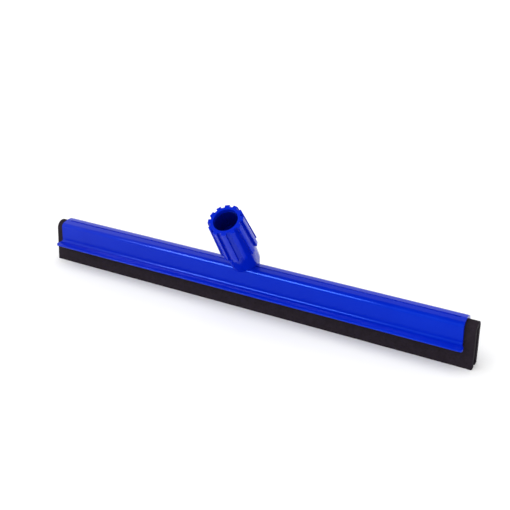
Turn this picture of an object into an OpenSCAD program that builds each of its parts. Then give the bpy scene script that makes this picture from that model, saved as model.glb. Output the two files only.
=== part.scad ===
// Floor squeegee head: a moulded bar that grips a folded foam-rubber blade,
// with an angled handle socket, a split grip collet and a ribbed lock nut.
// X runs along the bar, the front is -Y, and Z is up from the blade's lips.

/* [Blade] */
// Length of the folded foam-rubber strip
blade_l = 450; // [350:10:750]
// Height of the folded strip, from its lips to the crown of its fold
blade_h = 43.2; // [42:0.1:46]
// Thickness of one lip of the strip
lip_t = 6; // [5:0.5:6]
// Gap between the two lips, where the core strip sits
lip_gap = 4; // [4:0.5:5]
// How much further the strip's lips reach than its crown, at each end
blade_lean = 1.5; // [0:0.1:3]
// How far the core strip stops short of each end of the blade
core_inset = 6; // [2:1:20]

/* [Bar] */
// How far the blade sticks out past the bar's upper part, at each end
blade_overhang = 11; // [8:0.5:16]
// Thickness of the bar's walls
wall = 1.9; // [1.6:0.1:2.2]
// Thickness of the bar's roof above the blade's crown
roof = 1.3; // [1.3:0.1:3]
// Radius of the rounding along the bar's front upper edge
edge_r = 4.3; // [3:0.1:5]
// Radius of the rounding along the bar's back upper edge
back_edge_r = 6.6; // [4:0.1:6.8]
// Slope of the strip in front of the bar's groove
strip_slope = 10; // [0:1:14]
// How far each splash lip reaches out from its wall
lip_reach = 8; // [6:0.5:9]
// Slope of the splash lips
lip_slope = 6; // [2:1:16]
// Radius of the cove between each wall and its splash lip
cove_r = 2.5; // [2:0.5:4]
// Height of the splash lips' undersides above the floor
lip_z = 20.8; // [19:0.1:23]
// How far each end of a splash lip flares out past the end of its wall
lip_ear = 4.5; // [0:0.5:5]
// Width of the groove along the top of the bar
groove_w = 1.8; // [1:0.1:2.5]
// Number of ribs under each splash lip
rib_count = 18; // [4:1:24]

/* [Handle socket] */
// Angle of the socket's axis above the floor
socket_tilt = 55; // [50:1:60]
// Radius of the bore that takes the handle
bore_r = 11.3; // [11:0.1:11.5]
// How deep the bore is, from the nut's mouth
bore_depth = 52; // [48:0.5:52]
// Height of the nut's mouth centre above the floor
mouth_z = 101; // [100:0.5:105]
// How far the nut's mouth centre is in front of the blade's middle
mouth_y = 35.5; // [34:0.5:37]

/* [Lock nut] */
// Length of the nut along the socket's axis
nut_l = 41.5; // [41:0.5:43]
// Radius over the ribs at the mouth
nut_mouth_r = 16.6; // [16:0.1:17]
// Radius over the ribs at the base
nut_base_r = 18.4; // [18:0.1:19]
// Height of the ribs
rib_h = 2.4; // [1.5:0.1:2.4]
// Width of a rib
rib_w = 4.4; // [3:0.1:5.5]
// Number of ribs round the nut
nut_ribs = 12; // [8:1:14]
// Turn of the ribs round the nut when it is tight
rib_turn = 19; // [0:1:29]
// Pitch of the screw thread
pitch = 4; // [4:0.5:5]

/* [Hidden] */
$fn = 96;
plastic = [0.02, 0.13, 0.85];
collet_plastic = [0.01, 0.06, 0.45];
core_plastic = [0.75, 0.76, 0.78];
foam = [0.11, 0.10, 0.12];

// Blade
blade_r = lip_t + lip_gap / 2;       // half the folded width, and the radius of the fold
fold_z = blade_h - blade_r;          // height of the fold's centre
slip = 0.2;                          // clearance between the blade and the bar
core_slip = 0.1;                     // clearance between the core strip and the blade
core_r = lip_gap / 2 - core_slip;    // radius of the core strip's beads
core_web = 1.2;                      // half the thickness of the core strip's web
core_low_z = 18;                     // height of the core strip's lower bead
barb_z = [22, 25.5, 29];             // heights of the core strip's barbs

// Bar
chan_r = blade_r + slip;             // half the channel's width, and its crown's radius
bar_y = chan_r + wall;               // outer half depth of the bar's walls
top_z = fold_z + chan_r + roof;      // height of the bar's flat top
back_edge_z = top_z - back_edge_r;        // where the back edge's rounding ends
crest_y = -0.5;                      // where the flat top meets its sloping front strip
edge_tangent_y = edge_r * (1 - sin(strip_slope)) - bar_y;
edge_tangent = [edge_tangent_y, top_z - (crest_y - edge_tangent_y) * tan(strip_slope)];
front_edge_z = edge_tangent[1] - edge_r * cos(strip_slope); // where the front edge's rounding ends
bar_l = blade_l - 2 * blade_overhang;
lip_y = bar_y + lip_reach;           // distance out to the middle of the splash lips' edges
edge_y = lip_y + wall / 2;           // distance out to the splash lips' edges
lip_top_z = lip_z + wall / 2 + lip_reach * tan(lip_slope) + wall / 2 / cos(lip_slope);
cove_y = bar_y + cove_r;             // middle of the cove
cove_z = lip_top_z + (1 / cos(lip_slope) - tan(lip_slope)) * cove_r;
cove_tangent = [cove_y, cove_z] - cove_r * [sin(lip_slope), cos(lip_slope)];
end_draft = 0.9;                     // how far each end runs out down the bar's wall
wall_end = bar_l / 2 + end_draft;    // distance from the middle to a wall's lower end
lip_corner_r = 3.5;                  // rounding of the splash lips' corners, seen from above
ear_angle = atan(lip_ear / (edge_y - bar_y));
corner_y = edge_y - lip_corner_r;
corner_x = wall_end - (lip_corner_r + (bar_y - corner_y) * sin(ear_angle)) / cos(ear_angle);
lip_l = 2 * (corner_x + lip_corner_r);
groove_y = -1.4;                     // middle of the groove
groove_d = 0.8;
groove_end = 5.2;                    // distance from the groove to the bar's end
rib_t = 1.5;                         // thickness of a rib
rib_step = (bar_l - 20) / (rib_count - 1);

// Distances along the socket's axis are measured down from the nut's mouth, so they are negative.
collet_top = -4.5;
collet_l = 19;
collet_cone_l = 15.5;
collet_tip_r = bore_r + 0.9;
collet_root_r = bore_r + 2;
slit_w = 1.6;
slit_n = 4;
slit_l = 15;
tube_top = collet_top - collet_l - 0.5;
tube_r = bore_r + 1.1;               // root radius of the socket's thread
thread_h = 0.9;                      // height of both threads
thread_gap = 0.3;                    // clearance between the crests and the roots
nut_bore_r = tube_r + thread_h + thread_gap;
nut_mouth_bore_r = bore_r + 0.3;
cone_slip = 0.3;                     // clearance between the collet and the nut's cone
thread_base = 1.9;                   // width of a thread at its root
thread_crest = 1.0;                  // width of a thread at its crest
thread_sink = 0.3;                   // how far a thread's root is sunk in its tube
thread_seg = 36;                     // steps in one turn
male_turns = 3.5;
male_low = -nut_l + 1.6;             // lowest turn of the socket's thread
female_turns = 2;
female_low = male_low + pitch / 2;
shoulder_r = 15;                     // radius of the neck just under the nut
shoulder_z = -nut_l - 1;
neck_r = 12.5;                       // radius of the neck's upright foot
neck_foot_y = 4.2;                   // middle of the foot
neck_foot_h = 5;                     // height of the foot above the bar
neck_low_z = 36.5;                   // lowest point that the neck's lines run down to, inside the bar
chamfer = 0.5;                       // bevel on the ends of the nut's ribs

// ---- shared shapes ----

// Places a shape drawn in the (Y, Z) plane as a bar of length len, centred on X = 0.
module along_x(len) {
    translate([-len / 2, 0, 0]) rotate([90, 0, 90]) linear_extrude(len) children();
}

// Places a shape drawn in the (X, Z) plane as a slab of depth len, centred on Y = 0.
module along_y(len) {
    translate([0, len / 2, 0]) rotate([90, 0, 0]) linear_extrude(len) children();
}

// Puts shapes drawn round +Z on the socket's axis, with the nut's mouth at Z = 0.
module on_socket_axis() {
    translate([0, -mouth_y, mouth_z]) rotate([90 - socket_tilt, 0, 0]) children();
}

// An outline's points on the +X side, followed by their mirror images.
function with_mirror(half) = concat(half, [for (i = [len(half) - 1:-1:0]) [-half[i][0], half[i][1]]]);

// A shape and its mirror image.
module both_sides() {
    children();
    mirror([1, 0]) children();
}

// A helical ridge of trapezoid section, from radius r0 to radius r1, starting at height low.
function ridge_ring(r0, r1, low, i) = let (a = 360 * i / thread_seg, h = low + pitch * i / thread_seg)
    [for (p = [[r0, -thread_base], [r1, -thread_crest], [r1, thread_crest], [r0, thread_base]])
        [p[0] * cos(a), p[0] * sin(a), h + p[1] / 2]];

module helical_ridge(r0, r1, low, turns) {
    steps = turns * thread_seg;
    points = [for (i = [0:steps]) each ridge_ring(r0, r1, low, i)];
    sides = [for (i = [0:steps - 1], k = [0:3])
        [4 * i + k, 4 * i + (k + 1) % 4, 4 * i + 4 + (k + 1) % 4, 4 * i + 4 + k]];
    triangles = [for (q = sides) each [[q[0], q[1], q[2]], [q[0], q[2], q[3]]]];
    last = 4 * steps;
    caps = [[2, 1, 0], [3, 2, 0], [last, last + 1, last + 2], [last, last + 2, last + 3]];
    flip = r1 < r0;
    faces = concat(triangles, caps);
    polyhedron(points, [for (f = faces) flip ? [f[2], f[1], f[0]] : f], convexity = 10);
}

// ---- the blade and its core ----

module blade_section() {
    difference() {
        union() {
            translate([-blade_r, 0]) square([2 * blade_r, fold_z]);
            translate([0, fold_z]) circle(blade_r);
        }
        translate([-lip_gap / 2, -1]) square([lip_gap, fold_z + 1]);
        translate([0, fold_z]) circle(lip_gap / 2);
    }
}

module foam_blade() {
    color(foam) intersection() {
        along_x(blade_l) blade_section();
        along_y(100) polygon(with_mirror([
            [blade_l / 2, 0], [blade_l / 2 - blade_lean, fold_z], [blade_l / 2 - blade_lean, blade_h + 1]
        ]));
    }
}

module core_strip() {
    color(core_plastic) along_x(blade_l - 2 * core_inset) union() {
        translate([-core_web, core_low_z]) square([2 * core_web, fold_z - core_low_z]);
        for (z = [core_low_z, fold_z]) translate([0, z]) circle(core_r);
        for (z = barb_z) translate([0, z])
            polygon([[-core_r, 0], [core_r, 0], [core_web, 2], [-core_web, 2]]);
    }
}

// ---- the bar ----

// The bar's solid outline above its coves.
module bar_outline() {
    polygon([
        [-bar_y, cove_z], [-bar_y, front_edge_z], edge_tangent, [crest_y, top_z],
        [bar_y - back_edge_r, top_z], [bar_y, back_edge_z], [bar_y, cove_z]
    ]);
    translate([edge_r - bar_y, front_edge_z]) circle(edge_r);
    translate([bar_y - back_edge_r, back_edge_z]) circle(back_edge_r);
}

// One splash lip with its rounded edge, the cove above it and the skirt that runs on down from the wall.
module splash_lip() {
    translate([lip_y, lip_z + wall / 2]) {
        circle(wall / 2);
        rotate(-lip_slope) translate([-lip_reach - wall / 2, -wall / 2]) square([lip_reach + wall / 2, wall]);
    }
    difference() {
        polygon([
            [chan_r, lip_z], [bar_y, lip_z], [bar_y, lip_top_z - wall / 2], cove_tangent - [0, wall / 2],
            cove_tangent, [bar_y, cove_z], [chan_r, cove_z]
        ]);
        translate([cove_y, cove_z]) circle(cove_r);
    }
}

// The channel that holds the blade.
module channel() {
    translate([-chan_r, 0]) square([2 * chan_r, fold_z]);
    translate([0, fold_z]) circle(chan_r);
}

module bar_section() {
    difference() {
        bar_outline();
        channel();
    }
    both_sides() splash_lip();
}

// A rib that fills the hollow under a splash lip.
module lip_rib() {
    polygon([
        [bar_y - wall / 2, lip_z], [lip_y, lip_z],
        [lip_y, lip_z + wall / 2], [bar_y - wall / 2, lip_top_z - wall / 2]
    ]);
}

// Seen from the front: the walls' ends run out a little on their way down.
module front_outline() {
    polygon(with_mirror([
        [lip_l / 2, 0], [lip_l / 2, lip_top_z], [wall_end, lip_top_z], [bar_l / 2, top_z + 1]
    ]));
}

// Seen from above: each end flares out from the walls to the splash lips' rounded corners.
module top_outline() {
    side = corner_x + lip_corner_r * cos(ear_angle);
    side_y = corner_y - lip_corner_r * sin(ear_angle);
    for (flip = [0, 1]) mirror([0, flip]) {
        polygon(with_mirror([
            [wall_end, 0], [wall_end, bar_y], [side, side_y], [corner_x, corner_y], [corner_x, edge_y]
        ]));
        both_sides() translate([corner_x, corner_y]) circle(lip_corner_r);
    }
}

module frame_bar() {
    color(plastic) difference() {
        union() {
            intersection() {
                along_x(lip_l) bar_section();
                along_y(100) front_outline();
                linear_extrude(top_z + 1) top_outline();
            }
            for (i = [0:rib_count - 1]) translate([-bar_l / 2 + 10 + i * rib_step, 0, 0])
                along_x(rib_t) both_sides() lip_rib();
        }
        translate([groove_end - bar_l / 2, groove_y - groove_w / 2, top_z - groove_d])
            cube([bar_l - 2 * groove_end, groove_w, groove_d + 1]);
    }
}

// ---- the handle socket ----

// The neck leans from the nut back to an upright foot, which is flush with the back of the bar.
module neck() {
    intersection() {
        hull() {
            on_socket_axis() translate([0, 0, shoulder_z - 2]) cylinder(h = 2, r = shoulder_r, $fn = 64);
            translate([0, neck_foot_y, neck_low_z])
                cylinder(h = top_z + neck_foot_h - neck_low_z, r = neck_r, $fn = 64);
        }
        translate([-50, bar_y - 100, 0]) cube([100, 100, 200]);
    }
}

module handle_socket() {
    color(plastic) difference() {
        union() {
            neck();
            // the threaded tube inside the nut
            on_socket_axis() translate([0, 0, shoulder_z - 1])
                cylinder(h = tube_top - shoulder_z + 1, r = tube_r);
            on_socket_axis() helical_ridge(tube_r - thread_sink, tube_r + thread_h, male_low, male_turns);
        }
        on_socket_axis() translate([0, 0, -bore_depth]) cylinder(h = bore_depth, r = bore_r);
        along_x(100) bar_outline();
    }
}

// ---- the grip collet ----

module grip_collet() {
    color(collet_plastic) on_socket_axis() difference() {
        translate([0, 0, collet_top - collet_l]) rotate_extrude() polygon([
            [bore_r, 0], [collet_root_r, 0], [collet_root_r, collet_l - collet_cone_l],
            [collet_tip_r, collet_l], [bore_r, collet_l]
        ]);
        for (i = [0:slit_n - 1]) rotate([0, 0, 360 * (i + 0.5) / slit_n])
            translate([0, -slit_w / 2, collet_top - slit_l]) cube([2 * bore_r, slit_w, slit_l + 1]);
    }
}

// ---- the lock nut ----

// One rib, in the nut's own frame.
module nut_rib() {
    rotate([90, 0, 0]) translate([0, 0, -rib_w / 2]) linear_extrude(rib_w) polygon([
        [nut_mouth_r - rib_h - 1, 0], [nut_mouth_r - chamfer, 0], [nut_mouth_r, -chamfer],
        [nut_base_r, -nut_l + chamfer], [nut_base_r - chamfer, -nut_l], [nut_base_r - rib_h - 1, -nut_l]
    ]);
}

module nut_shell() {
    cone_top = collet_top + cone_slip;
    cone_low = collet_top - collet_cone_l;
    rotate_extrude() polygon([
        [nut_mouth_bore_r, 0], [nut_mouth_r - rib_h, 0], [nut_base_r - rib_h, -nut_l], [nut_bore_r, -nut_l],
        [nut_bore_r, cone_low], [collet_tip_r + cone_slip, cone_top], [nut_mouth_bore_r, cone_top]
    ]);
}

module lock_nut() {
    color(plastic) on_socket_axis() union() {
        nut_shell();
        intersection() {
            for (i = [0:nut_ribs - 1]) rotate([0, 0, rib_turn + 360 * i / nut_ribs]) nut_rib();
            translate([0, 0, -nut_l]) cylinder(h = nut_l, r1 = nut_base_r, r2 = nut_mouth_r);
        }
        helical_ridge(nut_bore_r + thread_sink, nut_bore_r - thread_h, female_low, female_turns);
    }
}

frame_bar();
handle_socket();
grip_collet();
lock_nut();
foam_blade();
core_strip();
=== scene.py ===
"""Looks of the floor squeegee head: materials, the foam blade, camera, light and floor."""

import math

import bmesh
import bpy
from mathutils import Matrix, Vector, noise


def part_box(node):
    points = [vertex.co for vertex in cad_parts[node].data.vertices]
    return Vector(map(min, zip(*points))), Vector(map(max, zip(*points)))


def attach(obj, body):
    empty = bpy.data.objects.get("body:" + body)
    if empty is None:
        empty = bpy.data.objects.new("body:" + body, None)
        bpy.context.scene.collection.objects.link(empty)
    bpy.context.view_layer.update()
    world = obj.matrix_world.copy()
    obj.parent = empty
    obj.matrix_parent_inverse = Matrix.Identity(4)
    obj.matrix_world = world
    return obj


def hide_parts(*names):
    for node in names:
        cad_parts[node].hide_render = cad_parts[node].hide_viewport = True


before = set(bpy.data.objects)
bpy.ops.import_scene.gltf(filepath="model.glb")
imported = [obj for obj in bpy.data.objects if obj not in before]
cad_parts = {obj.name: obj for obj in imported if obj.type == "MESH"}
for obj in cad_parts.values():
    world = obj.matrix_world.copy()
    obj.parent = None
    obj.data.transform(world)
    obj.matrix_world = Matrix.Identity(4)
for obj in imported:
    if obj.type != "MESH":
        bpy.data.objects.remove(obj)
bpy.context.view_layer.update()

MM = 0.001


# ---- small helpers ----

def new_piece(name, bm, body, replaced, material, sharp_angle):
    """Makes an object of a bmesh, with its sharp edges marked, and ties it to the frame."""
    bmesh.ops.recalc_face_normals(bm, faces=bm.faces)
    limit = math.radians(sharp_angle)
    for face in bm.faces:
        face.smooth = True
    for edge in bm.edges:
        edge.smooth = len(edge.link_faces) == 2 and edge.calc_face_angle() < limit
    mesh = bpy.data.meshes.new(name)
    bm.to_mesh(mesh)
    bm.free()
    piece = bpy.data.objects.new(name, mesh)
    bpy.context.scene.collection.objects.link(piece)
    mesh.materials.append(material)
    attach(piece, body)
    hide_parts(replaced)
    return piece


def loft(bm, rings):
    """Joins closed rings of points, each with the same number of points, by quads."""
    rows = [[bm.verts.new(point) for point in ring] for ring in rings]
    for low, high in zip(rows, rows[1:]):
        for i in range(len(low)):
            j = (i + 1) % len(low)
            bm.faces.new((low[i], low[j], high[j], high[i]))
    return rows


def set_stops(color_ramp, stops):
    """Gives a colour ramp its stops, each a position and a colour."""
    while len(color_ramp.elements) < len(stops):
        color_ramp.elements.new(0.5)
    for element, (position, colour) in zip(color_ramp.elements, stops):
        element.position = position
        element.color = (*colour, 1)


def grey(value):
    return (value, value, value)


# ---- materials ----

class Nodes:
    """A material's node tree, with short calls to add nodes and link them."""

    def __init__(self, name):
        self.material = bpy.data.materials.new(name)
        self.material.use_nodes = True
        self.tree = self.material.node_tree
        self.shader = self.tree.nodes["Principled BSDF"]
        self.place = self.add("ShaderNodeTexCoord").outputs["Object"]

    def add(self, kind, inputs=(), **settings):
        node = self.tree.nodes.new(kind)
        for key, value in settings.items():
            setattr(node, key, value)
        for key, value in dict(inputs).items():
            if isinstance(value, bpy.types.NodeSocket):
                self.tree.links.new(value, node.inputs[key])
            else:
                node.inputs[key].default_value = value
        return node

    def noise(self, scale, detail=2, roughness=0.5):
        inputs = {"Vector": self.place, "Scale": scale, "Detail": detail, "Roughness": roughness}
        return self.add("ShaderNodeTexNoise", inputs).outputs["Fac"]

    def cells(self, scale):
        inputs = {"Vector": self.place, "Scale": scale, "Randomness": 1.0}
        return self.add("ShaderNodeTexVoronoi", inputs).outputs["Distance"]

    def spread(self, value, low, high, from_low=0.3, from_high=0.7):
        """Stretches a value's middle range, or the range given, to run from low to high."""
        inputs = {"Value": value, "From Min": from_low, "From Max": from_high, "To Min": low, "To Max": high}
        return self.add("ShaderNodeMapRange", inputs).outputs["Result"]

    def ramp(self, value, stops):
        node = self.add("ShaderNodeValToRGB", {"Fac": value})
        set_stops(node.color_ramp, stops)
        return node.outputs["Color"]

    def bump(self, height, strength, distance, normal=None):
        inputs = {"Height": height, "Strength": strength, "Distance": distance}
        if normal is not None:
            inputs["Normal"] = normal
        return self.add("ShaderNodeBump", inputs).outputs["Normal"]

    def set(self, **values):
        for key, value in values.items():
            socket = self.shader.inputs[key.replace("_", " ")]
            if isinstance(value, bpy.types.NodeSocket):
                self.tree.links.new(value, socket)
            else:
                socket.default_value = value


# Scales of the surface detail, in features per metre.
FLOW_MARKS = 9
SKIN_WAVES = 45
SKIN_GRAIN = 900
FOAM_CELLS = 900
FOAM_PITS = 330
FOAM_MOTTLE = 130

PLASTIC_IOR = 1.5
FOAM_IOR = 1.3


def plastic(name, dark, light, gloss, tint=(1, 1, 1)):
    """Glossy moulded plastic: faint flow marks, and a skin that is slightly uneven."""
    n = Nodes(name)
    flow = n.noise(FLOW_MARKS, detail=3)
    grain = n.noise(SKIN_GRAIN, detail=2)
    skin = n.noise(SKIN_WAVES, detail=3)
    n.set(
        Base_Color=n.ramp(n.spread(flow, 0, 1), [(0, dark), (1, light)]),
        Roughness=n.spread(skin, gloss * 0.75, gloss * 1.3),
        Normal=n.bump(grain, 0.08, 0.02 * MM, n.bump(skin, 0.15, 0.1 * MM)),
        IOR=PLASTIC_IOR,
        Specular_Tint=(*tint, 1),
    )
    return n.material


def foam_rubber(dark, light):
    """Matt black cellular rubber: fine open cells, a soft mottle, and painted shade that darkens the middle
    of each pit.
    """
    n = Nodes("foam_rubber")
    cells = n.cells(FOAM_CELLS)
    pits = n.cells(FOAM_PITS)
    mottle = n.noise(FOAM_MOTTLE, detail=4, roughness=0.65)
    tone = n.ramp(n.spread(mottle, 0, 1), [(0, dark), (1, light)])
    # painted shade: the foam's colour is darkened towards the middle of each pit, where shade would fall
    painted_pit_shade = n.spread(pits, 0.45, 1.0, 0.0, 0.35)
    colour = n.add("ShaderNodeMix", {"Factor": 1.0}, data_type="RGBA", blend_type="MULTIPLY")
    n.tree.links.new(tone, colour.inputs["A"])
    n.tree.links.new(painted_pit_shade, colour.inputs["B"])
    n.set(
        Base_Color=colour.outputs["Result"],
        Roughness=0.85,
        Normal=n.bump(cells, 0.5, 0.25 * MM, n.bump(pits, 0.35, 0.4 * MM)),
        IOR=FOAM_IOR,
        Specular_IOR_Level=0.25,
    )
    return n.material


BLUE_SHEEN = (0.08, 0.30, 1.0)  # a saturated pigment tints the plastic's sheen where it is seen face on
BLUE = plastic("blue_plastic", (0.0, 0.009, 0.39), (0.0, 0.014, 0.44), 0.17, BLUE_SHEEN)
# painted light: the nut is the frame's blue plastic, made lighter to stand in for the light falling on its
# ribs
LIT_NUT_BLUE = plastic("nut_blue_plastic_painted_light", (0.0, 0.010, 0.44), (0.0, 0.016, 0.50), 0.2, BLUE_SHEEN)
# painted shade: the collet is blue plastic, made darker to stand in for the shade deep inside the bore
SHADED_COLLET_BLUE = plastic("collet_plastic", (0.0, 0.003, 0.16), (0.0, 0.006, 0.22), 0.35, BLUE_SHEEN)
GREY = plastic("core_plastic", (0.50, 0.51, 0.53), (0.62, 0.63, 0.65), 0.4)
FOAM = foam_rubber((0.008, 0.0055, 0.0088), (0.016, 0.0115, 0.0180))

WELD_WITHIN = 0.002 * MM     # vertices of a CAD node closer than this are one
BEVEL_ABOVE = 30             # only edges sharper than this many degrees are rounded


def paint(node, material):
    """Gives a CAD node a material."""
    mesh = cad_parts[node].data
    mesh.materials.clear()
    mesh.materials.append(material)


def soften(node, radius):
    """Rounds a CAD node's sharp edges a little."""
    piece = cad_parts[node]
    weld = piece.modifiers.new("joined_edges", "WELD")
    weld.merge_threshold = WELD_WITHIN
    bevel = piece.modifiers.new("rounded_edges", "BEVEL")
    bevel.width = radius
    bevel.segments = 3
    bevel.limit_method = "ANGLE"
    bevel.angle_limit = math.radians(BEVEL_ABOVE)
    bevel.use_clamp_overlap = True


for node_name, node_material in (
    ("frame_bar", BLUE), ("handle_socket", BLUE), ("lock_nut", LIT_NUT_BLUE),
    ("grip_collet", SHADED_COLLET_BLUE), ("core_strip", GREY),
):
    paint(node_name, node_material)
soften("frame_bar", 0.4 * MM)
soften("lock_nut", 0.35 * MM)


# ---- the foam blade ----

STRIP_T = 6 * MM             # thickness of the strip
STRIP_Y = 5 * MM             # distance from the middle to the middle of each half of the folded strip
LIP_R = 0.7 * MM             # rounding of the lips' edges
LIP_STEPS = (0, 0.1, 0.3, 0.6, 1)  # heights of the points on a lip's rounding, in LIP_R
CUT_R = 0.45 * MM            # rounding of the cut ends' borders
# Points on a cut end's rounding: how far in from the end, and how far inside the full outline, in CUT_R.
CUT_STEPS = ((0, 1), (0.15, 0.5), (0.5, 0.13), (1, 0))
CUT_LEAN = {-1: 2.2 * MM, 1: 0.8 * MM}  # how far each cut end leans back from its lips up to its fold
END_L = 4 * MM               # length at each end that takes up the lean
LEG_STEPS = 28
FOLD_STEPS = 28
ACROSS_STEPS = 5
STATION = 2.2 * MM           # spacing of the outlines along the blade

WAVE_L = 14 * MM             # length of the soft waves in the foam's skin
GRAIN_L = 2.5 * MM           # length of its finer unevenness
SIDE_SEED = 3.7
END_SEED = 9.1
END_ROUGHNESS = 1.5          # the cut ends are this much less even than the skin


def strip_path(fold_z):
    """The folded strip's middle line in (y, z), each point with its outward normal and its height
    above the nearer lip."""
    heights = [share * LIP_R for share in LIP_STEPS]
    heights += [LIP_R + (fold_z - LIP_R) * i / LEG_STEPS for i in range(1, LEG_STEPS)]
    leg = [((-STRIP_Y, z), (-1, 0), z) for z in heights]
    fold = []
    for i in range(FOLD_STEPS + 1):
        turn = math.pi * i / FOLD_STEPS
        out = (-math.cos(turn), math.sin(turn))
        fold.append(((STRIP_Y * out[0], fold_z + STRIP_Y * out[1]), out, fold_z))
    back = [((-y, z), (1, 0), height) for (y, z), _, height in reversed(leg)]
    return leg + fold + back


def foam_offset(x, y, z, seed):
    """How far the foam's skin lies inside its ideal surface at a point: it is never quite even."""
    wave = noise.noise(Vector((x, y, z)) / WAVE_L + Vector((seed, 0, 0)))
    grain = noise.noise(Vector((x, y, z)) / GRAIN_L + Vector((0, seed, 0)))
    return (0.10 + 0.07 * wave + 0.03 * grain) * MM


def strip_rows(path, x, inset, fold_z, end):
    """The strip's points at a station, as rows across its thickness, all of it smaller by inset.
    end is -1 or 1 at the cut ends, and 0 between them."""
    rows = []
    for (y, z), (out_y, out_z), from_lip in path:
        half = STRIP_T / 2 - inset
        if from_lip < LIP_R:
            half -= LIP_R - math.sqrt(max(LIP_R**2 - (LIP_R - from_lip) ** 2, 0))
        lift = inset * max(1 - from_lip / LIP_R, 0)
        at_x = x - end * CUT_LEAN.get(end, 0) * min(z / fold_z, 1)
        row = []
        for k in range(ACROSS_STEPS + 1):
            share = 2 * k / ACROSS_STEPS - 1
            reach = half * share
            if k in (0, ACROSS_STEPS):
                reach -= share * foam_offset(x, y + reach * out_y, z + reach * out_z, SIDE_SEED * k)
            point = Vector((at_x, y + reach * out_y, z + reach * out_z + lift))
            if end:
                point.x -= end * abs(foam_offset(point.y, point.z, x, END_SEED)) * END_ROUGHNESS
            row.append(point)
        rows.append(row)
    return rows


def outline(rows):
    """The closed ring round a station's rows: its outside, one lip, its inside and the other lip."""
    outside = [row[-1] for row in rows]
    inside = [row[0] for row in reversed(rows)]
    return outside + rows[-1][-2:0:-1] + inside + rows[0][1:-1]


def close_end(bm, ring, rows):
    """Fills a cut end with quads between the ring's vertices, with new ones inside it."""
    last = len(rows) - 1
    verts = {}
    for i in range(last + 1):
        verts[i, ACROSS_STEPS] = ring[i]
        verts[i, 0] = ring[2 * last + ACROSS_STEPS - i]
    for k in range(1, ACROSS_STEPS):
        verts[last, ACROSS_STEPS - k] = ring[last + k]
        verts[0, k] = ring[2 * last + ACROSS_STEPS + k]
    for i in range(1, last):
        for k in range(1, ACROSS_STEPS):
            verts[i, k] = bm.verts.new(rows[i][k])
    for i in range(last):
        for k in range(ACROSS_STEPS):
            bm.faces.new((verts[i, k], verts[i + 1, k], verts[i + 1, k + 1], verts[i, k + 1]))


def make_foam_blade():
    """The folded strip, with rounded lips, leaning cut ends and a slightly uneven skin."""
    low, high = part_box("foam_blade")
    fold_z = high.z - STRIP_Y - STRIP_T / 2
    half_l = high.x
    cuts = [(far * CUT_R, inset * CUT_R) for far, inset in CUT_STEPS]
    middle_l = 2 * (half_l - END_L)
    count = round(middle_l / STATION)
    stations = [(-half_l + far, inset, -1) for far, inset in cuts]
    stations += [(-half_l + END_L + middle_l * i / count, 0, 0) for i in range(count + 1)]
    stations += [(half_l - far, inset, 1) for far, inset in reversed(cuts)]
    path = strip_path(fold_z)
    grids = [strip_rows(path, x, inset, fold_z, end) for x, inset, end in stations]
    bm = bmesh.new()
    rings = loft(bm, [outline(rows) for rows in grids])
    close_end(bm, rings[0], grids[0])
    close_end(bm, rings[-1], grids[-1])
    blade = new_piece("foam_blade_visual", bm, "head", "foam_blade", FOAM, sharp_angle=60)


make_foam_blade()


# ---- camera, light and floor ----

CAMERA_AZIMUTH = math.radians(28.48)
CAMERA_ELEVATION = math.radians(24.83)
CAMERA_ROLL = math.radians(0.65)
CAMERA_DISTANCE = 0.81218
CAMERA_LENS = 59.16          # in millimetres, as the sensor's width is
CAMERA_SENSOR = 36
CAMERA_NEAR = 0.01
CAMERA_AIM = (0.01029, 0.04772)  # how far right of the origin and above it the camera looks, in its view

FLOOR_HALF = 8               # half the floor's width
SOFTBOX_TINT = (1.0, 0.72, 0.84)
# The studio's brightness by height: 0 is straight down, 0.5 the horizon and 1 straight up.
STUDIO = (
    (0.0, grey(0.0)), (0.47, grey(0.02)), (0.5, grey(1.15)), (0.74, grey(1.15)),
    (0.85, grey(0.8)), (0.92, grey(0.2)), (1.0, grey(0.15)),
)


def view_axes():
    """The camera's right, up and backward directions."""
    level = math.cos(CAMERA_ELEVATION)
    back = Vector((
        math.sin(CAMERA_AZIMUTH) * level, -math.cos(CAMERA_AZIMUTH) * level, math.sin(CAMERA_ELEVATION)
    ))
    right = Vector((math.cos(CAMERA_AZIMUTH), math.sin(CAMERA_AZIMUTH), 0))
    turn = Matrix.Rotation(CAMERA_ROLL, 3, back)
    return turn @ right, turn @ back.cross(right), back


def make_camera():
    right, up, back = view_axes()
    place = CAMERA_AIM[0] * right + CAMERA_AIM[1] * up + CAMERA_DISTANCE * back
    camera = bpy.data.objects.new("camera", bpy.data.cameras.new("camera"))
    camera.data.lens = CAMERA_LENS
    camera.data.sensor_width = CAMERA_SENSOR
    camera.data.clip_start = CAMERA_NEAR
    camera.matrix_world = Matrix.Translation(place) @ Matrix((right, up, back)).transposed().to_4x4()
    bpy.context.scene.collection.objects.link(camera)
    bpy.context.scene.camera = camera


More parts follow.
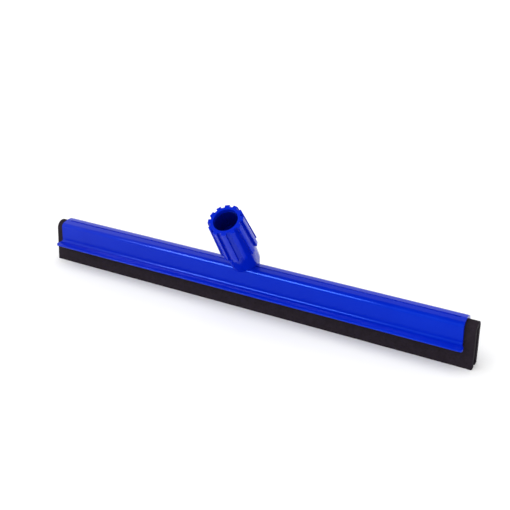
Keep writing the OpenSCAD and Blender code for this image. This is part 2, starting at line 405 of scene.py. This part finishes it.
def softbox(name, place, aim, size, power):
    """A light that shows in the plastic's gloss and leaves the even light on the floor alone."""
    light = bpy.data.lights.new(name, "AREA")
    light.shape = "RECTANGLE"
    light.size, light.size_y = size
    light.energy = power
    light.color = SOFTBOX_TINT
    lamp = bpy.data.objects.new(name, light)
    lamp.location = place
    lamp.rotation_euler = (Vector(aim) - Vector(place)).to_track_quat("-Z", "Y").to_euler()
    lamp.visible_diffuse = False
    lamp.visible_camera = False
    bpy.context.scene.collection.objects.link(lamp)


def sun(name, direction, strength, angle):
    """A soft, even light from a direction, given as the way to the light."""
    light = bpy.data.lights.new(name, "SUN")
    light.energy = strength
    light.angle = math.radians(angle)
    lamp = bpy.data.objects.new(name, light)
    lamp.rotation_euler = Vector(direction).to_track_quat("Z", "Y").to_euler()
    lamp.visible_glossy = False
    bpy.context.scene.collection.objects.link(lamp)


def make_world():
    """A pale studio: bright from the horizon up, darker overhead, and dark below."""
    world = bpy.data.worlds.new("studio")
    bpy.context.scene.world = world
    world.use_nodes = True
    tree = world.node_tree
    place = tree.nodes.new("ShaderNodeTexCoord")
    split = tree.nodes.new("ShaderNodeSeparateXYZ")
    scale = tree.nodes.new("ShaderNodeMapRange")
    ramp = tree.nodes.new("ShaderNodeValToRGB")
    scale.inputs["From Min"].default_value = -1
    set_stops(ramp.color_ramp, STUDIO)
    tree.links.new(place.outputs["Generated"], split.inputs["Vector"])
    tree.links.new(split.outputs["Z"], scale.inputs["Value"])
    tree.links.new(scale.outputs["Result"], ramp.inputs["Fac"])
    tree.links.new(ramp.outputs["Color"], tree.nodes["Background"].inputs["Color"])


def make_floor():
    """A plain, matt, nearly white floor."""
    n = Nodes("floor")
    pale = n.ramp(n.noise(3, detail=3), [(0, grey(0.93)), (1, grey(0.95))])
    n.set(Base_Color=pale, Roughness=0.9, IOR=1.1)
    bm = bmesh.new()
    bmesh.ops.create_grid(bm, x_segments=8, y_segments=8, size=FLOOR_HALF)
    mesh = bpy.data.meshes.new("floor")
    bm.to_mesh(mesh)
    bm.free()
    mesh.materials.append(n.material)
    floor = bpy.data.objects.new("floor", mesh)
    bpy.context.scene.collection.objects.link(floor)


bpy.context.scene.view_settings.view_transform = "Standard"
make_camera()
make_world()
make_floor()
sun("overhead", direction=(-0.2, -0.5, 1), strength=2.1, angle=100)
softbox("front_left", place=(-0.60, -1.10, 0.86), aim=(0, 0, 0.04), size=(1.05, 0.46), power=44)
